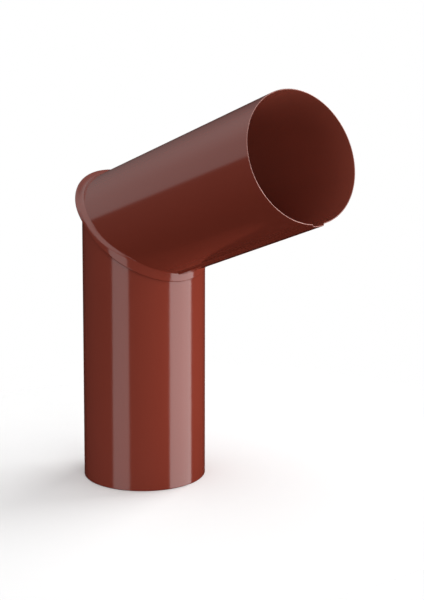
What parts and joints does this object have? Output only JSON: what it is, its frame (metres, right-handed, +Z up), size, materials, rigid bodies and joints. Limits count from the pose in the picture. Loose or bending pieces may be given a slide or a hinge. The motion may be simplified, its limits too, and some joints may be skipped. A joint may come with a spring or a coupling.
{
  "type": "downspout elbow",
  "caption": "Round downspout elbow of coated sheet steel: two mitred pipes joined by a folded seam, turning rainwater from a sloping pipe into an upright one.",
  "frame": {"origin": "centre of the lower pipe's open end", "axes": "+Z up along the lower pipe's axis, +X the way the upper pipe leads off, +Y across"},
  "size_m": [0.2602, 0.1048, 0.3254],
  "materials": {
    "coated_steel": "gloss"
  },
  "bodies": {
    "root": {"lower_pipe": "coated_steel", "upper_pipe": "coated_steel"}
  },
  "joints": []
}
